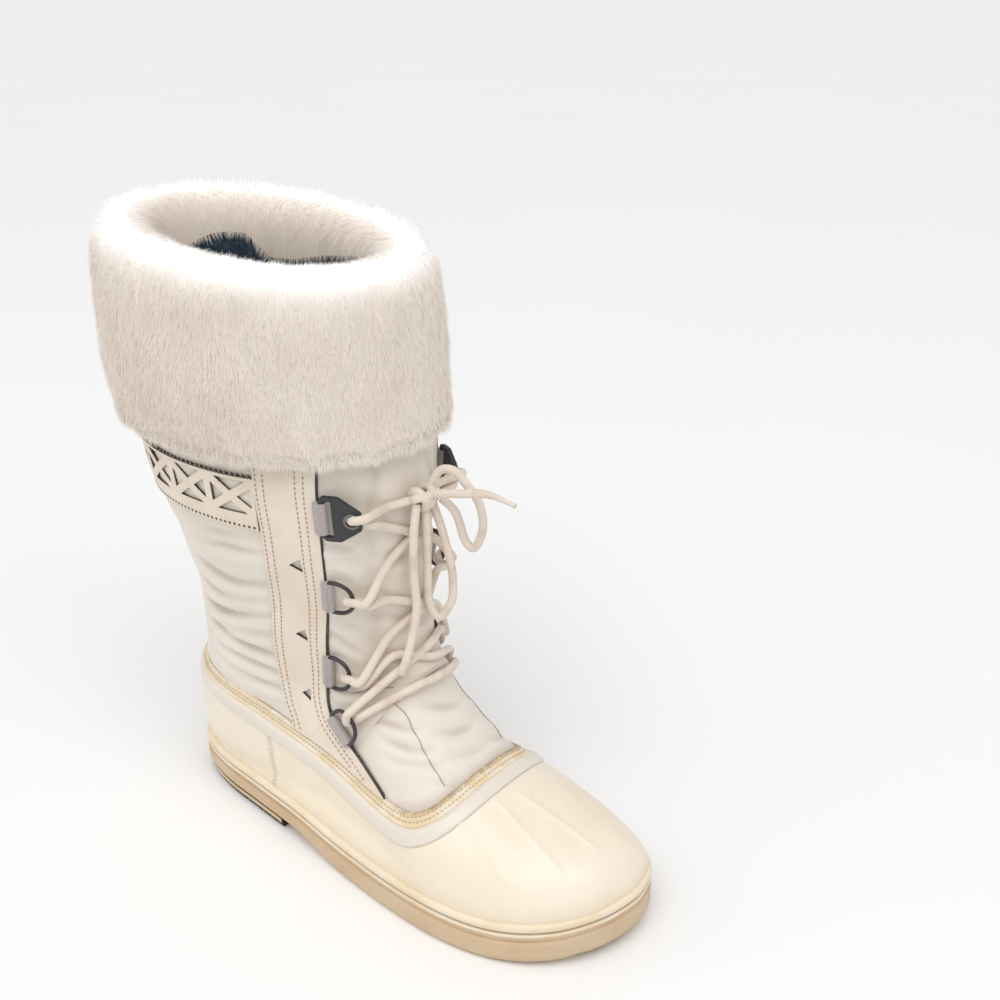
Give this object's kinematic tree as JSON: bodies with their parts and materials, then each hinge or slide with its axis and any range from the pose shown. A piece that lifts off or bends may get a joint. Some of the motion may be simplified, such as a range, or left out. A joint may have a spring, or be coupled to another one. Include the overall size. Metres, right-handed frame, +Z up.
{
  "type": "winter boot",
  "caption": "Lace-up winter boot for the right foot: moulded rubber shell and lugged sole, padded fabric shaft, leather eyestays, ring lacing with a bow, turned-down fur cuff.",
  "frame": {"origin": "on the floor under the middle of the heel", "axes": "+X from heel to toe, +Y towards the inner (medial) side, +Z up the shaft"},
  "size_m": [0.3135, 0.1471, 0.3224],
  "materials": {
    "tan_rubber": "matte, faintly scuffed",
    "black_rubber": "matte",
    "cream_rubber": "satin",
    "felt": "napped felt",
    "shaft_fabric": "close woven nylon with a faint sheen",
    "leather": "coated leather, satin",
    "tape": "pinked and stitched tape",
    "fur": "deep pile",
    "ring_metal": "dark painted wire",
    "plate_plastic": "matte moulded plastic",
    "webbing": "narrow ribbed webbing",
    "lace_cord": "round braided cord"
  },
  "bodies": {
    "root": {"outsole": "tan_rubber", "heel_tread": "black_rubber", "foxing_bead": "cream_rubber", "shell": "cream_rubber", "insole": "felt", "upper": "shaft_fabric", "tongue": "shaft_fabric", "collar_trim": "tape", "eyestay_lateral": "leather", "eyestay_medial": "leather", "lattice_band": "leather", "fur_cuff": "fur", "d_ring_lateral_1": "ring_metal", "d_ring_lateral_2": "ring_metal", "d_ring_lateral_3": "ring_metal", "d_ring_medial_1": "ring_metal", "d_ring_medial_2": "ring_metal", "d_ring_medial_3": "ring_metal", "ring_tab_lateral_1": "webbing", "ring_tab_lateral_2": "webbing", "ring_tab_lateral_3": "webbing", "ring_tab_medial_1": "webbing", "ring_tab_medial_2": "webbing", "ring_tab_medial_3": "webbing", "lace_plate_lateral": "plate_plastic", "lace_plate_medial": "plate_plastic", "plate_tab_lateral": "webbing", "plate_tab_medial": "webbing", "lace_crossings": "lace_cord", "lace_knot": "lace_cord", "lace_loop_high": "lace_cord", "lace_loop_low": "lace_cord", "lace_end_free": "lace_cord", "lace_end_hanging": "lace_cord"}
  },
  "joints": []
}
